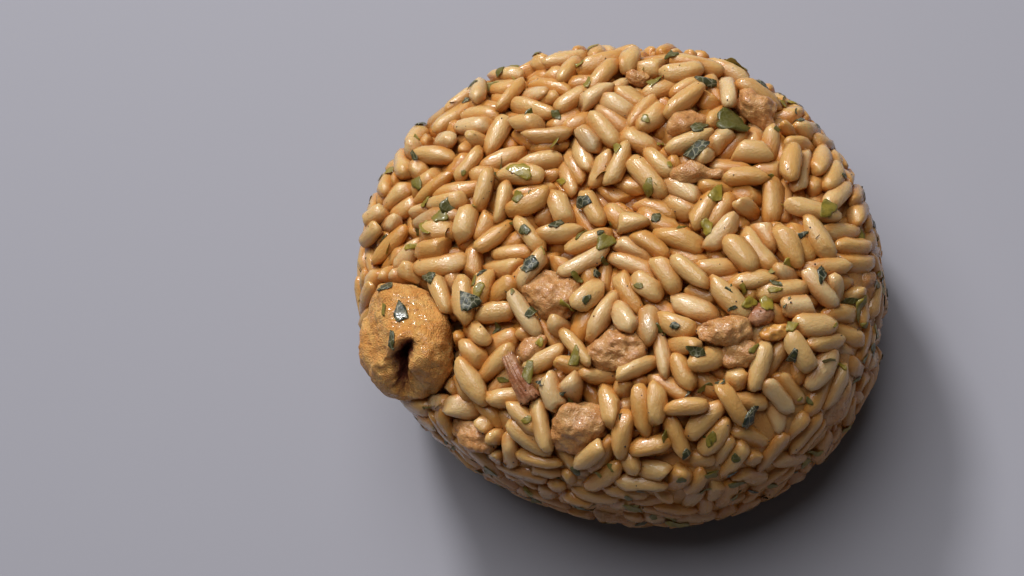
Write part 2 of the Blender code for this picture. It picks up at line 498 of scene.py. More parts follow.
FORMS = [
    as_arrays(grain_form(taper=0.06, curve=0.10, notch=0.50, facets=0.03)),
    as_arrays(grain_form(taper=-0.12, curve=0.16, notch=0.35, facets=0.05)),
    as_arrays(grain_form(taper=0.14, curve=0.04, notch=0.60, facets=-0.04)),
    as_arrays(grain_form(taper=0.02, curve=0.22, notch=0.40, waist=0.10, facets=0.04)),
    as_arrays(grain_form(taper=0.10, curve=0.06, notch=0.20, waist=-0.08, facets=-0.05)),
    as_arrays(grain_form(taper=0.05, curve=0.08, facets=0.04, cut_at=0.20)),
]
FORM_SHARES = (0.22, 0.22, 0.18, 0.14, 0.14, 0.10)
print("Faces of the grain forms:", [len(faces) for _, faces in FORMS])

# %% [markdown]
# ## Laying the grains
# Every capsule now gets a form, a roll about its length, a slight bend and a few soft lumps of
# its own, so that no two are alike. On the wall and under the foot the mould has pressed the grains
# flat, so points that would stand out of it are moved back to its skin there.
#
# Four values are stored at each point for the finish: the grain's own tone, how near the next
# grain is and how deep the point lies (the finish paints shade with both, partly standing for
# soy stain in the seams), and its place in the grain's own space, so that streaks can run along
# every grain.

# %% Shape one grain in its place
LUMP_HEIGHT = 0.05 * MM
BEND = 0.05
ROLL = 0.6
SIDE_FLATS, END_FLATS = 4, 4


def grain_turn(along, outward, roll):
    """Columns that turn a form: its thickness faces out of the ball, its length follows the grain."""
    along = Vector(along).normalized()
    side = along.cross(Vector(outward)).normalized()
    upright = Matrix((side.cross(along), side, along)).transposed()
    return np.array(Matrix.Rotation(roll, 3, along) @ upright)


def lumpy(points):
    """Points in a grain's own space, with a few soft lumps."""
    outward = points / np.maximum(np.linalg.norm(points, axis=1), 1e-9)[:, None]
    waves = chance.uniform(-2600, 2600, (5, 3))
    phases = chance.uniform(0, 2 * math.pi, 5)
    lift = np.sin(points @ waves.T + phases).sum(axis=1) / 2
    return points + outward * (lift * LUMP_HEIGHT)[:, None]


def pressed_flat(points):
    """Points in the unit box, pressed by a few planes beside the grain and at its ends."""
    turn = chance.uniform(0, 2 * math.pi, SIDE_FLATS + END_FLATS)
    side_lean = chance.normal(0, 0.12, SIDE_FLATS)
    end_lean = chance.uniform(0.6, 1.3, END_FLATS)
    lean = np.concatenate((side_lean, end_lean))
    lean[-END_FLATS // 2 :] *= -1
    side_reach = chance.uniform(0.36, 0.47, SIDE_FLATS)
    end_reach = chance.uniform(0.37, 0.46, END_FLATS)
    reach = np.concatenate((side_reach, end_reach))
    for angle, tilt, limit in zip(turn, lean, reach):
        level = math.cos(tilt)
        way = np.array((math.cos(angle) * level, math.sin(angle) * level, math.sin(tilt)))
        over = np.maximum(0, points @ way - limit)
        points = points - 0.85 * over[:, None] * way
    return points


def laid_grain(index, form):
    """The grain's points in its own space and in the frame."""
    thick, wide, long = grain_thick[index], grain_wide[index], grain_long[index]
    points = pressed_flat(FORMS[form][0]) * (thick, wide, long)
    points[:, 0] += chance.normal(0, BEND) * long * (0.25 - (points[:, 2] / long) ** 2)
    points = lumpy(points)
    turn = grain_turn(grain_along[index], grain_outward[index], chance.normal(0, ROLL))
    return points, points @ turn.T + grain_middle[index]


form_of = chance.choice(len(FORMS), grains, p=FORM_SHARES)
laid = [laid_grain(index, form) for index, form in enumerate(form_of)]
starts = np.cumsum([0] + [len(points) for points, _ in laid])
own_space = np.concatenate([points + chance.uniform(-0.05, 0.05, 3) for points, _ in laid])
all_points = np.concatenate([points for _, points in laid])
print("Points in all grains:", len(all_points))

# %% [markdown]
# Where the mould touched it, a grain ends in a flat patch. Moving each point back along the way
# out makes that patch, and it costs nothing but the depth that is already known.

# %% Press them to the mould
TOP_CAN_STAND = 1.3 * MM
WALL_CAN_STAND = 0.05 * MM
FOOT_LIFT = 0.02 * MM
skin_depth, skin_outward = under_skin(all_points)
pressed = pressed_share(all_points, skin_outward)
may_stand = TOP_CAN_STAND * (1 - pressed) + WALL_CAN_STAND * pressed
beyond = np.maximum(0, -skin_depth - may_stand)
all_points -= skin_outward * (0.94 * beyond)[:, None]
all_points[:, 2] = np.maximum(all_points[:, 2], FOOT_LIFT)
print("Points pressed back:", int((beyond > 0).sum()))

# %% [markdown]
# Soy sauce runs into the seams between grains, and the finish darkens them amber: partly soy stain,
# partly painted shade. The gap from each point to the nearest neighbour is measured once and
# stored for that. The depth under the skin and the share of wall are stored as well, and the
# finish paints shade with them too.

# %% Measure how near the next grain is
SEAM_WIDTH = 0.75 * MM
DEEP = 3.2 * MM


def gap_to_others(points, index, others):
    """Distance from each point to the nearest other grain, negative inside it."""
    run = 2 * half[others] * grain_along[others]
    away = points[:, None] - (grain_middle[others] - run / 2)
    share = np.clip((away * run).sum(axis=2) / (run * run).sum(axis=1), 0, 1)
    apart = np.linalg.norm(away - share[..., None] * run, axis=2) - grain_radius[others]
    return apart.min(axis=1)


first, second = close_pairs(grain_middle, REACH)
gap = np.empty(len(all_points))
for index in range(grains):
    others = np.concatenate((second[first == index], first[second == index]))
    rows = slice(starts[index], starts[index + 1])
    gap[rows] = gap_to_others(all_points[rows], index, others)
def wall_shade_share(outward):
    """How much painted shade of the wall a point takes: none on the top, all of it low down."""
    return np.clip((0.6 - outward[:, 2]) / 0.8, 0, 1)


# seam and deep paint amber shade into the rice's colour, partly standing for soy stain
seam = np.clip(1 - gap / SEAM_WIDTH, 0, 1)
deep = np.clip(skin_depth / DEEP, 0, 1)
tone = np.repeat(chance.random(grains), np.diff(starts))
# wall is painted shade on the wall and the foot, stronger low down
wall = wall_shade_share(skin_outward)
tip = np.concatenate([np.abs(2 * FORMS[form][0][:, 2]) ** 3 for form in form_of])
print("Mean share of seam:", round(float(seam.mean()), 2))

# %% [markdown]
# ## Finishes
# Food looks like plastic when its gloss is even and its colour is flat. So every finish here mixes
# two or three named colours by slow noise and by the values stored on the mesh, and all of them
# share one node group: a thin moist film whose gloss and height are uneven.
# The group gives out only a roughness, a coat weight and a height. The shader stays in the
# material, and what is the same all over is set on the shader's own sockets.

# %% Helpers for node trees
def add(tree, kind, inputs=(), **settings):
    """A new node with these properties and these (socket, value) inputs."""
    node = tree.nodes.new(kind)
    for key, value in settings.items():
        setattr(node, key, value)
    for socket, value in inputs:
        node.inputs[socket].default_value = value
    return node


def fill(tree, socket, value):
    """Puts a socket's output, a colour or a number into an input socket."""
    if isinstance(value, bpy.types.NodeSocket):
        tree.links.new(value, socket)
    elif isinstance(value, tuple):
        socket.default_value = (*value, 1)
    else:
        socket.default_value = value


def mixed(tree, share, first, second):
    """The colour first, turning into the colour second as share goes from 0 to 1."""
    mix = add(tree, "ShaderNodeMix", data_type="RGBA")
    factor, colour_a, colour_b = mix.inputs[0], mix.inputs[6], mix.inputs[7]
    fill(tree, factor, share)
    fill(tree, colour_a, first)
    fill(tree, colour_b, second)
    return mix.outputs[2]


def ramp(tree, value, low, high, to_low=0.0, to_high=1.0):
    """A value mapped from the range low to high, and kept in the new range."""
    node = add(tree, "ShaderNodeMapRange", ((1, low), (2, high), (3, to_low), (4, to_high)))
    fill(tree, node.inputs[0], value)
    return node.outputs[0]


def noise_at(tree, place, per_metre, detail=2.0):
    """Noise from 0 to 1 at a place, with that many features in a metre."""
    node = add(tree, "ShaderNodeTexNoise", (("Scale", per_metre), ("Detail", detail)))
    fill(tree, node.inputs["Vector"], place)
    return node.outputs["Fac"]


def stored(tree, name, output="Fac"):
    """A value stored on the mesh."""
    return add(tree, "ShaderNodeAttribute", attribute_name=name).outputs[output]


def new_finish(name):
    """A new material, its tree, its shader and the place on the piece."""
    made = bpy.data.materials.new(name)
    made.use_nodes = True
    tree = made.node_tree
    place = add(tree, "ShaderNodeTexCoord").outputs["Object"]
    return made, tree, tree.nodes["Principled BSDF"], place


# %% [markdown]
# Cooked food is covered by a thin film of starch, oil and sauce. Its gloss is broken: wet in
# specks, dull between them. Two noises, one broad and one fine, give that to every finish.

# %% The moist film, shared by every finish
def make_film_group():
    """The node group that works out the film's gloss, coat and height."""
    group = bpy.data.node_groups.new("moist_film", "ShaderNodeTree")
    new_socket = group.interface.new_socket
    new_socket("Place", in_out="INPUT", socket_type="NodeSocketVector")
    for name in ("Scale", "Fine Scale", "Fine Share", "Dryness"):
        new_socket(name, in_out="INPUT", socket_type="NodeSocketFloat")
    for name in ("Roughness", "Coat", "Height"):
        new_socket(name, in_out="OUTPUT", socket_type="NodeSocketFloat")
    given, result = add(group, "NodeGroupInput"), add(group, "NodeGroupOutput")
    broad = add(group, "ShaderNodeTexNoise", (("Detail", 1.5),))
    fine = add(group, "ShaderNodeTexNoise", (("Detail", 2.0), ("Roughness", 0.6)))
    for texture, scale in ((broad, "Scale"), (fine, "Fine Scale")):
        fill(group, texture.inputs["Vector"], given.outputs["Place"])
        fill(group, texture.inputs["Scale"], given.outputs[scale])
    drier = add(group, "ShaderNodeMath", operation="ADD")
    fill(group, drier.inputs[0], ramp(group, broad.outputs["Fac"], 0.38, 0.62, 0.10, 0.30))
    fill(group, drier.inputs[1], given.outputs["Dryness"])
    fill(group, result.inputs["Roughness"], drier.outputs[0])
    fill(group, result.inputs["Coat"], ramp(group, fine.outputs["Fac"], 0.46, 0.62, 0.0, 0.75))
    height = add(group, "ShaderNodeMath", operation="MULTIPLY_ADD")
    fill(group, height.inputs[0], fine.outputs["Fac"])
    fill(group, height.inputs[1], given.outputs["Fine Share"])
    fill(group, height.inputs[2], broad.outputs["Fac"])
    fill(group, result.inputs["Height"], height.outputs[0])
    return group


film_group = make_film_group()


def lay_film(tree, shader, place, scale, fine_scale, fine_share, dryness, relief):
    """Gives a shader the film's gloss, its coat and its relief, in metres."""
    settings = (
        ("Scale", scale),
        ("Fine Scale", fine_scale),
        ("Fine Share", fine_share),
        ("Dryness", dryness),
    )
    film = add(tree, "ShaderNodeGroup", node_tree=film_group)
    for name, value in settings:
        film.inputs[name].default_value = value
    fill(tree, film.inputs["Place"], place)
    fill(tree, shader.inputs["Roughness"], film.outputs["Roughness"])
    fill(tree, shader.inputs["Coat Weight"], film.outputs["Coat"])
    bump = add(tree, "ShaderNodeBump", (("Strength", 1.0), ("Distance", relief)))
    fill(tree, bump.inputs["Height"], film.outputs["Height"])
    fill(tree, shader.inputs["Normal"], bump.outputs["Normal"])
    shader.inputs["Coat Roughness"].default_value = 0.09
    shader.inputs["IOR"].default_value = 1.46


# %% [markdown]
# Seasoned rice is not one brown. Grains differ by how much sauce they took up, and a few stay
# watery. Each grain's own tone picks its colour. Then painted shade darkens it amber in the seams
# and at depth, where it partly stands for soy stain, and on the wall.

# %% The rice finish
CREAM = (0.65, 0.41, 0.165)
PALE = (0.68, 0.48, 0.25)
TAN = (0.58, 0.30, 0.085)
AMBER = (0.50, 0.175, 0.022)
WATERY = (0.50, 0.34, 0.17)


def rice_finish(name, dryness, relief):
    """Creamy grains, each in its own tone, with amber painted shade where they meet, where they lie deep
    and on the wall; in the seams and depths it also stands for soy stain.
    """
    made, tree, shader, place = new_finish(name)
    own = stored(tree, "own_space", "Vector")
    stretch = add(tree, "ShaderNodeMapping", (("Scale", (1, 1, 0.6)),))
    fill(tree, stretch.inputs["Vector"], own)
    lay_film(tree, shader, stretch.outputs["Vector"], 850, 3800, 1.0, dryness, relief)
    grain_tone = stored(tree, "tone")
    body = mixed(tree, ramp(tree, grain_tone, 0.0, 0.45), TAN, CREAM)
    body = mixed(tree, ramp(tree, grain_tone, 0.76, 1.0), body, PALE)
    body = mixed(tree, ramp(tree, grain_tone, 0.06, 0.02), body, WATERY)
    body = mixed(tree, ramp(tree, stored(tree, "tip"), 0.3, 1.0, 0.0, 0.3), body, TAN)
    body = mixed(tree, ramp(tree, noise_at(tree, place, 260, 3), 0.45, 0.72, 0.0, 0.5), body, TAN)
    body = mixed(tree, ramp(tree, noise_at(tree, place, 700, 2), 0.60, 0.75, 0.0, 0.2), body, AMBER)
    # painted shade, partly soy stain: amber in the seams and at depth
    body = mixed(tree, ramp(tree, stored(tree, "seam"), 0.1, 1.0, 0.0, 0.72), body, AMBER)
    body = mixed(tree, ramp(tree, stored(tree, "deep"), 0.25, 0.9, 0.0, 0.60), body, AMBER)
    # painted shade: amber on the wall, stronger low down
    body = mixed(tree, ramp(tree, stored(tree, "wall"), 0.1, 0.9, 0.0, 0.48), body, AMBER)
    fill(tree, shader.inputs["Base Color"], body)
    shader.inputs["Subsurface Weight"].default_value = 0.2
    shader.inputs["Subsurface Scale"].default_value = 3 * MM
    shader.inputs["Subsurface Radius"].default_value = (1.0, 0.5, 0.2)
    return made


rice = rice_finish("soy_stained_rice", 0.0, 0.09 * MM)
paste = rice_finish("rice_paste", 0.22, 0.15 * MM)

# %% [markdown]
# Every visible thing goes through one function, which stores its values, gives it its finish and
# tells the frame which body it rides on. Its place is in its mesh.

# %% Make a piece
def new_piece(name, points, faces, finish, values):
    """A piece with its place in its mesh, and one stored value or vector a point for each name."""
    mesh = bpy.data.meshes.new(name)
    mesh.from_pydata(points, [], faces)
    mesh.shade_smooth()
    for label, numbers in values.items():
        numbers = np.asarray(numbers, np.float32)
        kind, key = ("FLOAT", "value") if numbers.ndim == 1 else ("FLOAT_VECTOR", "vector")
        mesh.attributes.new(label, kind, "POINT").data.foreach_set(key, numbers.ravel())
    mesh.materials.append(finish)
    piece = bpy.data.objects.new(name, mesh)
    bpy.context.scene.collection.objects.link(piece)
    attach(piece, BODY)
    return piece


def join_grains(name, chosen, finish):
    """One piece out of the chosen grains."""
    rows = np.concatenate([np.arange(starts[i], starts[i + 1]) for i in chosen])
    faces, offset = [], 0
    for i in chosen:
        faces += [[corner + offset for corner in face] for face in FORMS[form_of[i]][1]]
        offset += starts[i + 1] - starts[i]
    values = {"tone": tone[rows], "seam": seam[rows], "deep": deep[rows], "wall": wall[rows]}
    values["tip"] = tip[rows]
    values["own_space"] = own_space[rows]
    print(name, len(chosen), "grains,", len(faces), "faces")
    return new_piece(name, all_points[rows], faces, finish, values)


# %% [markdown]
# More than a thousand grains are too many for pieces of their own. They are joined by where
# they lie: on the top, on the wall, on the foot, and inside where they show only through gaps.

# %% Sort the grains into four pieces
shallow = grain_depth < 3.9 * MM
on_top = shallow & (grain_outward[:, 2] > PRESSED_BELOW)
on_foot = shallow & (grain_outward[:, 2] < -PRESSED_BELOW)
top_grains = join_grains("rice_top_grains", np.flatnonzero(on_top), rice)
wall_grains = join_grains("rice_wall_grains", np.flatnonzero(shallow & ~on_top & ~on_foot), rice)
foot_grains = join_grains("rice_foot_grains", np.flatnonzero(on_foot), rice)
inner_grains = join_grains("rice_inner_grains", np.flatnonzero(~shallow), rice)

# %% [markdown]
# ## The core
# Behind the grains lies a core that stands for the rest of the heap. On the top it is deep enough
# to be seen only as dark gaps. On the wall and the foot, where pressing has smeared starch
# between the grains, it comes close to the skin and fills the seams.
# It starts as an icosphere, and each point goes out along its own ray to the mould and back in again.

# %% Make the core
CORE_DEPTH_TOP = 3.2 * MM
CORE_DEPTH_WALL = 0.9 * MM


def make_core():
    """The smaller heap behind the grains."""
    bm = bmesh.new()
    bmesh.ops.create_icosphere(bm, subdivisions=6, radius=1)
    for vertex in bm.verts:
        way = vertex.co.normalized()
        hit, outward, _, _ = mould_tree.ray_cast(centre, way)
        patted = max(0.0, min(1.0, (outward.z - 0.25) / 0.4))
        depth = CORE_DEPTH_WALL + (CORE_DEPTH_TOP - CORE_DEPTH_WALL) * patted
        depth += 0.7 * MM * abs(noise.noise(hit / (2.4 * MM))) - 0.2 * MM
        vertex.co = hit - way * depth / max(0.5, way.dot(outward))
    for _ in range(2):
        bmesh.ops.smooth_vert(
            bm, verts=bm.verts[:], factor=0.5, use_axis_x=True, use_axis_y=True, use_axis_z=True
        )
    points, faces = as_arrays(bm)
    depth, outward = under_skin(points)
    values = {
        "tone": np.full(len(points), 0.3),
        # the core takes painted shade all over, more of it at depth and on the wall
        "seam": np.full(len(points), 0.55),
        "deep": np.clip(depth / DEEP, 0, 1),
        "wall": wall_shade_share(outward),
        "tip": np.full(len(points), 0.5),
        "own_space": points,
    }
    return new_piece("rice_core", points, faces, paste, values)


core = make_core()
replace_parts(core, "rice_ball")
print("Core faces:", len(core.data.polygons))

# %% [markdown]
# ## The meat
# Cooked mince is a soft lump of short fibres, and the fried piece is a folded sheet in a thin sandy
# crust. Both start from the frame's own solids, rounded by subdivision. Several layers
# of noise, from broad to fine, then push the surface along its normals.
# The finish paints shade into the hollows. A sheltered point is one whose view outwards is
# blocked near by, so short rays measure that and the value is stored on the mesh for that
# painted shade.

# %% Roughen a surface and measure its shelter
VIEWS_OUT = [
    Vector((math.cos(2.4 * i) * math.sqrt(1 - z * z), math.sin(2.4 * i) * math.sqrt(1 - z * z), z))
    for i, z in enumerate(np.linspace(-0.97, 0.97, 30))
]
SHELTER_REACH = 3.5 * MM


def roughen(bm, layers, shift):
    """Moves points along their normals by layers of noise: (height, pitch) in millimetres."""
    bm.normal_update()
    moved = []
    for vertex in bm.verts:
        lift = sum(high * noise.noise(vertex.co / (pitch * MM) + shift) for high, pitch in layers)
        moved.append(vertex.co + vertex.normal * lift * MM)
    for vertex, place in zip(bm.verts, moved):
        vertex.co = place
    bm.normal_update()


def shelter(bm):
    """For each point, the share of the rays out of it that meet the same piece close by."""
    bm.normal_update()
    tree = BVHTree.FromBMesh(bm)
    shares = []
    for vertex in bm.verts:
        start = vertex.co + vertex.normal * 0.08 * MM
        out = [way for way in VIEWS_OUT if way.dot(vertex.normal) > 0.2]
        met = sum(tree.ray_cast(start, way, SHELTER_REACH)[0] is not None for way in out)
        shares.append(met / max(1, len(out)))
    return np.array(shares)


# %% [markdown]
# Mince in soy sauce is a soft brown with paler fat and darker pores. A fried crust is more orange
# and drier. Painted shade darkens the hollows of both, the crust's folds nearly to black. One
# function makes both, and the shred and egg as well.

# %% The finishes of the meat
MINCE = (0.52, 0.240, 0.080)
MINCE_PALE = (0.60, 0.33, 0.125)
MINCE_DARK = (0.27, 0.080, 0.025)
CRUST = (0.74, 0.320, 0.070)
CRUST_PALE = (0.84, 0.47, 0.14)
CRUST_DARK = (0.17, 0.032, 0.008)


def meat_finish(name, body, pale, dark, film):
    """Three colours: pale on broad patches, dark in fine pores, and dark as painted shade in hollows."""
    made, tree, shader, place = new_finish(name)
    lay_film(tree, shader, place, *film)
    colour = mixed(tree, ramp(tree, noise_at(tree, place, 420, 3), 0.42, 0.66, 0.0, 0.8), body, pale)
    colour = mixed(tree, ramp(tree, noise_at(tree, place, 1500, 2), 0.55, 0.72, 0.0, 0.4), colour, dark)
    # painted shade: darker where the surface is sheltered by itself
    colour = mixed(tree, ramp(tree, stored(tree, "shelter"), 0.10, 0.55), colour, dark)
    fill(tree, shader.inputs["Base Color"], colour)
    shader.inputs["Subsurface Weight"].default_value = 0.15
    shader.inputs["Subsurface Scale"].default_value = 1.5 * MM
    shader.inputs["Subsurface Radius"].default_value = (1.0, 0.4, 0.25)
    return made


mince = meat_finish("cooked_mince", MINCE, MINCE_PALE, MINCE_DARK, (700, 3800, 1.0, 0.06, 0.18 * MM))
crust = meat_finish("fried_crust", CRUST, CRUST_PALE, CRUST_DARK, (900, 4600, 1.6, 0.36, 0.30 * MM))
dark_meat = meat_finish(
    "dark_meat",
    (0.34, 0.125, 0.052),
    (0.50, 0.26, 0.13),
    (0.13, 0.035, 0.015),
    (900, 3200, 0.6, 0.08, 0.2 * MM),
)
egg_yellow = meat_finish(
    "egg_crumb",
    (0.60, 0.27, 0.06),
    (0.68, 0.38, 0.11),
    (0.40, 0.13, 0.02),
    (600, 2400, 0.5, 0.0, 0.15 * MM),
)

# %% [markdown]
# The fried piece is a flap of chicken folded over before it was fried, which leaves a rolled rim
# beside a dark pit. A few soft strokes sink and lift the surface, as a thumb would in clay.

# %% Fold the fried piece
# The piece faces out of the shoulder. The strokes are drawn in its own plane, in mm from its
# middle: x along its fold, y across it. Each is: a line of places, its width, how far it lifts.
FRIED_FACES, FRIED_RISE, FRIED_HEADING = math.radians(-130), math.radians(50), math.radians(-50)
STROKES = (
    (((1.5, 4), (2, 1), (2, -2.5)), 0.8, 0.75),
    (((3, 4.5), (3.5, 2), (5, 0), (6, -2)), 0.8, -3.0),
    (((3, 4.5), (3.5, 2.5)), 0.8, -1.5),
    (((5, 5), (5, 3.5)), 1.5, 0.9),
    (((-7, -3), (-4.5, -2)), 0.7, -0.5),
    (((-4, 1), (-1, 3)), 1.0, 0.5),
)


def fried_plane():
    """The fried piece's middle, and its directions along the fold, across it and outwards."""
    level = math.cos(FRIED_RISE)
    outward = Vector(
        (math.cos(FRIED_FACES) * level, math.sin(FRIED_FACES) * level, math.sin(FRIED_RISE))
    )
    along = Vector((math.cos(FRIED_HEADING), math.sin(FRIED_HEADING), 0))
    along = (along - outward * along.dot(outward)).normalized()
    low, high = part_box("fried_chicken")
    return (low + high) / 2, along, outward.cross(along), outward


def beside_line(point, places):
    """Distance in mm from a point to a line through places."""
    nearest = 99.0
    for start, end in zip(places, places[1:]):
        start, end = Vector(start), Vector(end)
        share = max(0, min(1, (point - start).dot(end - start) / (end - start).length_squared))
        nearest = min(nearest, (point - start.lerp(end, share)).length)
    return nearest


def fold(bm):
    """Lifts and sinks the outer side of the piece along the strokes."""
    bm.normal_update()
    middle, along, across, outward = fried_plane()
    for vertex in bm.verts:
        offset = (vertex.co - middle) / MM
        spot = Vector((offset.dot(along), offset.dot(across)))
        facing = max(0, min(1, offset.dot(outward) / 1.5))
        wobble = 0.5 * noise.noise(vertex.co / (1.1 * MM))
        lift = 0
        for places, width, height in STROKES:
            near = (beside_line(spot, places) + wobble * width) / width
            lift += facing * height * math.exp(-(near**2))
        way = vertex.normal if lift > 0 else offset.normalized()
        vertex.co += way * lift * MM


# %% [markdown]
# The frame's meat has the right size and place but a smooth skin. Subdivision and layers of noise
# add knobs and fibres, and each result takes the place of its node.

# %% Finish the frame's own meat
MINCE_LAYERS = ((0.85, 3.2), (0.42, 1.3), (0.16, 0.55))
CRUST_LAYERS = ((0.45, 4.2), (0.26, 1.6), (0.15, 0.7), (0.07, 0.33))


def meat_piece(name, bm, finish):
    """A piece of meat out of a bmesh, with its shelter stored for the finish's painted shade."""
    shares = shelter(bm)
    points, faces = as_arrays(bm)
    return new_piece(name, points, faces, finish, {"shelter": shares})


def finish_node(node, name, layers, finish, folds=False):
    """A piece that stands for one of the frame's nodes, with its surface worked out."""
    bm = rounded(merged_copy(node), 2)
    if folds:
        fold(bm)
    roughen(bm, layers, Vector((3.1, 1.7, 8.3)))
    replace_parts(meat_piece(name, bm, finish), node)


finish_node("fried_chicken", "fried_piece", CRUST_LAYERS, crust, folds=True)
for where in ("centre", "front", "side", "near", "back", "edge"):
    finish_node("minced_lump_" + where, "mince_" + where, MINCE_LAYERS, mince)
print("Meat nodes finished")

# %% [markdown]
# Crumbs of mince are small icospheres pushed about by noise. The shred is a torn strip, so it
# starts as a bar, with grooves along it and a frayed end.

# %% Model the small bits
def soft_bit(size, place, layers, subdivisions=4):
    """A lumpy bit of that size in mm, in its frame in the rice, kept just inside the mould."""
    bm = bmesh.new()
    bmesh.ops.create_icosphere(bm, subdivisions=subdivisions, radius=0.5)
    bmesh.ops.scale(bm, vec=Vector(size) * MM, verts=bm.verts[:])
    bmesh.ops.transform(bm, matrix=place, verts=bm.verts[:])
    roughen(bm, layers, place.translation * 1000)
    return bm


def shred(size, place):
    """A torn strip of dark meat: a flat bar with grooves along it and a frayed end."""
    long, wide, thick = size
    bm = bmesh.new()
    bmesh.ops.create_cube(bm, size=1)
    bmesh.ops.subdivide_edges(bm, edges=bm.edges[:], cuts=20, use_grid_fill=True)
    for vertex in bm.verts:
        x, y, z = vertex.co
        fray = 0.16 * noise.noise(Vector((y * 9, z * 4, 5))) if abs(x) > 0.3 else 0
        width = 0.62 + 0.45 * (x + 0.5) ** 1.6
        groove = 0.13 * noise.noise(Vector((x * 1.2, y * 9, 2)))
        rounding = math.sqrt(max(0.05, 1 - (2 * y) ** 2 * 0.85))
        bow = 0.28 * math.cos(math.pi * x)
        across = y * width * wide
        upward = (z * rounding + groove + bow) * thick
        vertex.co = Vector((x * (1 + fray) * long, across, upward)) * MM
    bmesh.ops.transform(bm, matrix=place, verts=bm.verts[:])
    roughen(bm, ((0.10, 0.7),), Vector((2, 2, 2)))
    return bm


for name, place in bit_frames.items():
    size = MIXED_IN[name][1]
    if name == "shred":
        meat_piece("meat_shred", shred(size, place), dark_meat)
    elif name == "egg":
        crumb = soft_bit(size, place, ((0.7, 1.9), (0.25, 0.8)))
        meat_piece("egg_crumb", crumb, egg_yellow)
    else:
        finish = dark_meat if name == "meat_red" else mince
        meat_piece(name, soft_bit(size, place, MINCE_LAYERS), finish)
print("Small bits modelled")

# %% [markdown]
# ## Herbs
# Chopped leaf is mixed all through the rice. Wet flakes cling to what they lie on, so each flake is
# a small grid that falls on the rice from outside, point by point. A leaf is stiffer than a film,
# so it bridges the gaps between grains instead of dipping into them. It then gets a thickness.

# %% Find what a flake falls on
def all_shown():
    """The points and faces of every piece so far, as one tree."""
    points, faces, offset = [], [], 0
    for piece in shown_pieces():
        mesh = piece.data
        found = np.empty(len(mesh.vertices) * 3, np.float32)
        mesh.vertices.foreach_get("co", found)
        points.append(found.reshape(-1, 3))
        faces += [[corner + offset for corner in face.vertices] for face in mesh.polygons]
        offset += len(mesh.vertices)
    return BVHTree.FromPolygons(np.concatenate(points).tolist(), faces)


heap_tree = all_shown()
FALL_FROM = 3.0 * MM


def height_of_heap(place, outward):
    """How far out of the plane through place the heap stands there."""
    hit, _, _, distance = heap_tree.ray_cast(place + outward * FALL_FROM, -outward, 2.5 * FALL_FROM)
    return -1.5 * MM if hit is None else FALL_FROM - distance


# %% [markdown]
# Chopped leaf has a rough round edge with one or two straight cuts from the knife. Some flakes
# lie flat on the grains, and others stick out askew from between them.

# %% Shape one flake
CELLS_LONG, CELLS_WIDE = 7, 5
FLAKE_THICKNESS = 0.05 * MM
CLEARANCE = 0.13 * MM


def flake_outline(seed):
    """Where the grid's points lie: a rough round leaf with one or two straight cuts, one unit across."""
    rough = np.random.default_rng(seed)
    u, v = np.meshgrid(np.linspace(-1, 1, CELLS_LONG + 1), np.linspace(-1, 1, CELLS_WIDE + 1))
    x, y = u * np.sqrt(1 - v * v / 2), v * np.sqrt(1 - u * u / 2)
    angle, out = np.arctan2(y, x), np.hypot(x, y)
    waves = rough.uniform(0, 2 * math.pi, 3)
    swell = 1 + 0.16 * np.sin(2 * angle + waves[0]) + 0.13 * np.sin(3 * angle + waves[1])
    swell += 0.07 * np.sin(7 * angle + waves[2])
    spots = np.stack((x * swell, y * swell), axis=-1).reshape(-1, 2) / 2
    for _ in range(rough.integers(1, 4)):
        turn, limit = rough.uniform(0, 2 * math.pi), rough.uniform(0.20, 0.38)
        way = np.array((math.cos(turn), math.sin(turn)))
        spots -= 0.92 * np.maximum(0, spots @ way - limit)[:, None] * way
    return spots


def bridged(heights):
    """Heights of a grid after its low points are lifted towards their neighbours' mean."""
    heights = heights.reshape(CELLS_WIDE + 1, CELLS_LONG + 1)
    padded = np.pad(heights, 1, mode="edge")
    shifts = [(i, j) for i in range(3) for j in range(3)]
    rows, columns = heights.shape
    highest = np.max([padded[i : i + rows, j : j + columns] for i, j in shifts], axis=0)
    heights = np.maximum(heights, highest - 0.16 * MM)
    for _ in range(4):
        padded = np.pad(heights, 1, mode="edge")
        around = (padded[:-2, 1:-1] + padded[2:, 1:-1] + padded[1:-1, :-2] + padded[1:-1, 2:]) / 4
        heights = np.maximum(heights, around)
    return heights.ravel()


def flake(place, long, wide, seed, tucked):
    """One flake, as arrays. It is draped on the heap, or tucked askew between the grains."""
    rough = np.random.default_rng(seed)
    spots = flake_outline(seed) * (long, wide) * MM
    outward = place.col[2].to_3d()
    if tucked:
        heap = height_of_heap(place.translation, outward)
        sunk = rough.uniform(-0.1, 0.55) * MM
        tilt = Matrix.Rotation(rough.uniform(0.4, 1.25), 4, "X")
        place = Matrix.Translation(outward * (heap - sunk)) @ place @ tilt
        heights = rough.normal(0, 0.09) * (spots[:, 0] ** 2 - spots[:, 1] ** 2) / MM
        heights += rough.normal(0, 0.06) * spots[:, 0]
    else:
        falls = [height_of_heap(place @ Vector((x, y, 0)), outward) for x, y in spots]
        heights = bridged(np.array(falls)) + CLEARANCE
    bm = bmesh.new()
    bmesh.ops.create_grid(bm, x_segments=CELLS_LONG, y_segments=CELLS_WIDE, size=0.5)
    for vertex, (x, y), height in zip(bm.verts, spots, heights):
        vertex.co = place @ Vector((x, y, height))
    bmesh.ops.solidify(bm, geom=bm.faces[:], thickness=FLAKE_THICKNESS)
    return as_arrays(bm)
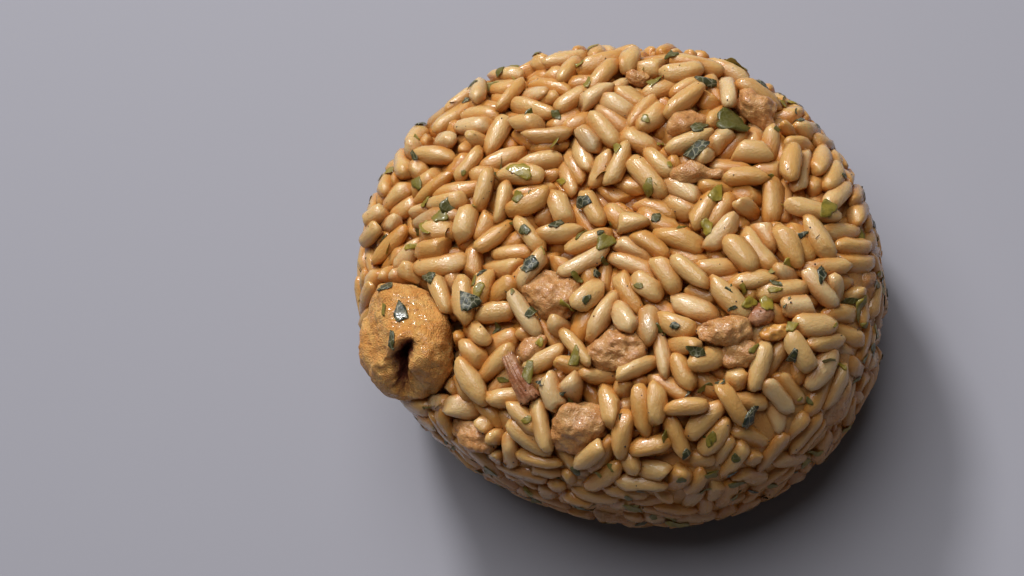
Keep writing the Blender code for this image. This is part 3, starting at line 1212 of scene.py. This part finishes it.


# %% [markdown]
# The flakes that draw the eye are set one by one, in whole millimetres beside the frame's lumps. The
# many small ones are scattered evenly over the skin, each with its own size and tone.

# %% Choose the flakes
# The flakes that catch the eye: where, long, wide, heading, tone from dark 0 to olive 1
CHOSEN_FLAKES = (
    (beside("minced_lump_back", -110, 4), 4.8, 3.4, 10, 0.35),
    (beside("minced_lump_back", -110, 11), 5.0, 3.5, 45, 0.05),
    (beside("minced_lump_back", 160, 9), 2.8, 1.8, 30, 0.10),
    (beside("minced_lump_back", 180, 15), 3.2, 2.4, 70, 0.60),
    (beside("minced_lump_centre", 160, 4), 3.2, 2.6, 30, 0.05),
    (beside("minced_lump_centre", -150, 12), 3.6, 2.8, 70, 0.05),
    (beside("minced_lump_centre", 95, 12), 3.0, 2.0, 60, 0.05),
    (beside("minced_lump_centre", 105, 10), 2.6, 1.6, 60, 0.15),
    (beside("minced_lump_centre", 70, 19), 2.4, 1.9, 80, 0.65),
    (beside("minced_lump_centre", -170, 25), 2.9, 2.3, 20, 0.10),
    (beside("minced_lump_centre", -50, 11), 3.4, 1.4, 100, 0.70),
    (beside("minced_lump_side", 60, 5), 2.4, 1.7, 40, 0.80),
    (beside("minced_lump_side", -105, 5), 2.4, 1.7, -10, 0.20),
    (beside("minced_lump_side", 40, 17), 3.2, 1.4, 100, 0.05),
    (beside("minced_lump_side", -45, 19), 3.8, 2.2, 60, 0.05),
    (beside("fried_chicken", 105, 3), 4.0, 1.7, -40, 0.0),
    (beside("fried_chicken", -110, 3), 3.2, 1.6, -40, 0.15),
    (beside("fried_chicken", 170, 5), 2.4, 1.2, -50, 0.60),
    (beside("fried_chicken", 85, 7), 2.6, 1.8, 20, 0.15),
)
SMALL_FLAKES = 560
TUCKED_SHARE = 0.65


def skin_points(count):
    """Random places spread evenly over the mould's skin, in mm."""
    areas = np.array([face.calc_area() for face in mould.faces])
    chosen = chance.choice(len(areas), count, p=areas / areas.sum())
    mould.faces.ensure_lookup_table()
    places = []
    for index in chosen:
        corners = [vertex.co for vertex in mould.faces[index].verts]
        shares = chance.dirichlet(np.ones(len(corners)))
        places.append(sum((c * s for c, s in zip(corners, shares)), Vector()) / MM)
    return places


def pressed_in(place):
    """Whether a frame lies on the wall or the foot, where nothing may stand out of the mould."""
    return place.col[2].z < PRESSED_BELOW - PRESSED_BLEND / 2


whole_tree = merged_tree(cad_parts)
flakes = [
    (skin_frame(place, heading, 0, whole_tree), long, wide, leaf_tone, False)
    for place, long, wide, heading, leaf_tone in CHOSEN_FLAKES
]
for spot in skin_points(SMALL_FLAKES):
    place = skin_frame(spot, chance.uniform(0, 360), 0)
    long = min(3.4, 0.9 + chance.gamma(2.4, 0.42))
    wide = long * chance.uniform(0.40, 0.85)
    leaf_tone = chance.random() ** 0.9
    tucked = chance.random() < TUCKED_SHARE and not pressed_in(place)
    if spot.z > 0.5:
        flakes.append((place, long, wide, leaf_tone, tucked))
print("Flakes:", len(flakes))

# %% [markdown]
# Hundreds of flakes make one piece, with each flake's tone stored on it. Old leaf runs from nearly
# black to olive, and the darkest flakes still show faint pale veins.

# %% Join many small things
def join_small(name, parts, finish, tones):
    """One piece out of many (points, faces) parts, each with its own stored tone."""
    faces, offset = [], 0
    for points, part_faces in parts:
        faces += [[corner + offset for corner in face] for face in part_faces]
        offset += len(points)
    all_tones = np.concatenate([np.full(len(points), t) for (points, _), t in zip(parts, tones)])
    together = np.concatenate([points for points, _ in parts])
    together[:, 2] = np.maximum(together[:, 2], FOOT_LIFT)
    return new_piece(name, together, faces, finish, {"tone": all_tones})


LEAF_DARK = (0.020, 0.025, 0.012)
LEAF_MID = (0.105, 0.092, 0.012)
LEAF_OLIVE = (0.33, 0.235, 0.024)
LEAF_VEIN = (0.55, 0.50, 0.33)


def leaf_finish():
    """Soaked leaf, from nearly black to olive, with thin pale veins on the dark flakes."""
    made, tree, shader, place = new_finish("soaked_leaf")
    lay_film(tree, shader, place, 1300, 4200, 0.5, 0.26, 0.14 * MM)
    leaf_tone = stored(tree, "tone")
    colour = mixed(tree, ramp(tree, leaf_tone, 0.05, 0.45), LEAF_DARK, LEAF_MID)
    colour = mixed(tree, ramp(tree, leaf_tone, 0.40, 0.95), colour, LEAF_OLIVE)
    colour = mixed(tree, ramp(tree, noise_at(tree, place, 900), 0.45, 0.7, 0.0, 0.5), colour, LEAF_MID)
    veins = add(tree, "ShaderNodeTexVoronoi", (("Scale", 1000),), feature="DISTANCE_TO_EDGE")
    fill(tree, veins.inputs["Vector"], place)
    veined = mixed(tree, ramp(tree, veins.outputs["Distance"], 0.02, 0.07, 0.35, 0.0), colour, LEAF_VEIN)
    colour = mixed(tree, ramp(tree, leaf_tone, 0.10, 0.40), veined, colour)
    fill(tree, shader.inputs["Base Color"], colour)
    return made


leaf = leaf_finish()
flake_parts = [
    flake(place, long, wide, seed, tucked)
    for seed, (place, long, wide, _, tucked) in enumerate(flakes)
]
flake_tones = [leaf_tone for *_, leaf_tone, _ in flakes]
leaf_flakes = join_small("leaf_flakes", flake_parts, leaf, flake_tones)
print("Leaf faces:", len(leaf_flakes.data.polygons))

# %% [markdown]
# ## Pepper
# Fine black specks stick to the grains everywhere. Each is an icosphere of twenty faces, a quarter
# of a millimetre across, dropped on the heap like the flakes.

# %% Drop the pepper
SPECKS = 420
SPECK_SIZE = 0.15 * MM


def speck(place):
    """One speck of pepper, dropped on the heap."""
    bm = bmesh.new()
    bmesh.ops.create_icosphere(bm, subdivisions=1, radius=SPECK_SIZE * chance.uniform(0.45, 1.0))
    bmesh.ops.scale(bm, vec=Vector(chance.uniform(0.6, 1.2, 3)), verts=bm.verts[:])
    outward = place.col[2].to_3d()
    start = place.translation
    landed = start + outward * height_of_heap(start, outward)
    bmesh.ops.translate(bm, vec=landed, verts=bm.verts[:])
    return as_arrays(bm)


def pepper_finish():
    """Cracked pepper, nearly black with browner grit."""
    made, tree, shader, place = new_finish("black_pepper")
    grit = ramp(tree, noise_at(tree, place, 5000), 0.4, 0.6)
    colour = mixed(tree, grit, (0.012, 0.009, 0.007), (0.05, 0.03, 0.018))
    fill(tree, shader.inputs["Base Color"], colour)
    shader.inputs["Roughness"].default_value = 0.5
    return made


speck_parts = [speck(skin_frame(place, 0, 0)) for place in skin_points(SPECKS) if place.z > 0.5]
pepper = join_small(
    "pepper_specks", speck_parts, pepper_finish(), np.zeros(len(speck_parts))
)
print("Specks:", len(speck_parts))

# %% [markdown]
# ## Camera
# The ball is looked down on from its front right. It usually leans on the rim of a plate, but it
# lies flat here, so the camera is rolled to show it at the same slant.

# %% Place the camera
SENSOR = 36
FOCAL_LENGTH = 80.0
AIM_HEIGHT = 17.3 * MM
BALL_FROM_AXIS = (15.1 * MM, 0.94 * MM)
BALL_DISTANCE = 315 * MM
look_back = Vector((0.3929, -0.268, 0.8796)).normalized()
look_right = Vector((-0.3065, 0.8637, 0.4001)).cross(look_back).normalized()
look_up = look_back.cross(look_right)

camera_data = bpy.data.cameras.new("camera")
camera_data.sensor_width = SENSOR
camera_data.lens = FOCAL_LENGTH
camera_data.clip_start = 0.01
camera = bpy.data.objects.new("camera", camera_data)
bpy.context.scene.collection.objects.link(camera)
spot = Vector((0, 0, AIM_HEIGHT)) + look_back * BALL_DISTANCE
spot -= look_right * BALL_FROM_AXIS[0] + look_up * BALL_FROM_AXIS[1]
turn = Matrix((look_right, look_up, look_back)).transposed().to_4x4()
camera.matrix_world = Matrix.Translation(spot) @ turn
bpy.context.scene.camera = camera

# %% [markdown]
# A plain pale floor and soft white light leave the food to speak for itself. A small lamp from
# behind on the left draws the wet glints, and a broad one above fills the rest.

# %% Floor and lights
floor_bm = bmesh.new()
bmesh.ops.create_grid(floor_bm, x_segments=1, y_segments=1, size=1.5)
floor_mesh = bpy.data.meshes.new("floor")
floor_bm.to_mesh(floor_mesh)
floor_bm.free()
floor = bpy.data.objects.new("floor", floor_mesh)
bpy.context.scene.collection.objects.link(floor)
floor_finish, _, floor_shader, _ = new_finish("pale_floor")
floor_shader.inputs["Base Color"].default_value = (0.29, 0.285, 0.325, 1)
floor_shader.inputs["Roughness"].default_value = 0.7
floor_mesh.materials.append(floor_finish)
floor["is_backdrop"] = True


def area_light(name, way, distance, size, power):
    """A round white lamp in that direction from the ball, facing it."""
    data = bpy.data.lights.new(name, "AREA")
    data.shape = "DISK"
    data.size = size
    data.energy = power
    lamp = bpy.data.objects.new(name, data)
    way = Vector(way).normalized()
    lamp.location = centre + way * distance
    lamp.rotation_mode = "QUATERNION"
    lamp.rotation_quaternion = way.to_track_quat("Z", "Y")
    bpy.context.scene.collection.objects.link(lamp)
    return lamp


area_light("key", (-0.50, 0.48, 0.72), 0.8, 0.17, 4.2)
area_light("overhead", (-0.20, 0.25, 1.0), 0.9, 0.9, 6.2)
world = bpy.data.worlds.new("studio")
world.use_nodes = True
backdrop = world.node_tree.nodes["Background"]
backdrop.inputs["Color"].default_value = (1, 1, 1, 1)
backdrop.inputs["Strength"].default_value = 0.05
bpy.context.scene.world = world
bpy.context.scene.view_settings.view_transform = "Standard"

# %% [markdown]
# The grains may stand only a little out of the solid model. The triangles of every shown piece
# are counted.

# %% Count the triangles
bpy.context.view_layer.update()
triangles = sum(len(face.vertices) - 2 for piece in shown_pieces() for face in piece.data.polygons)
print("Triangles:", triangles)
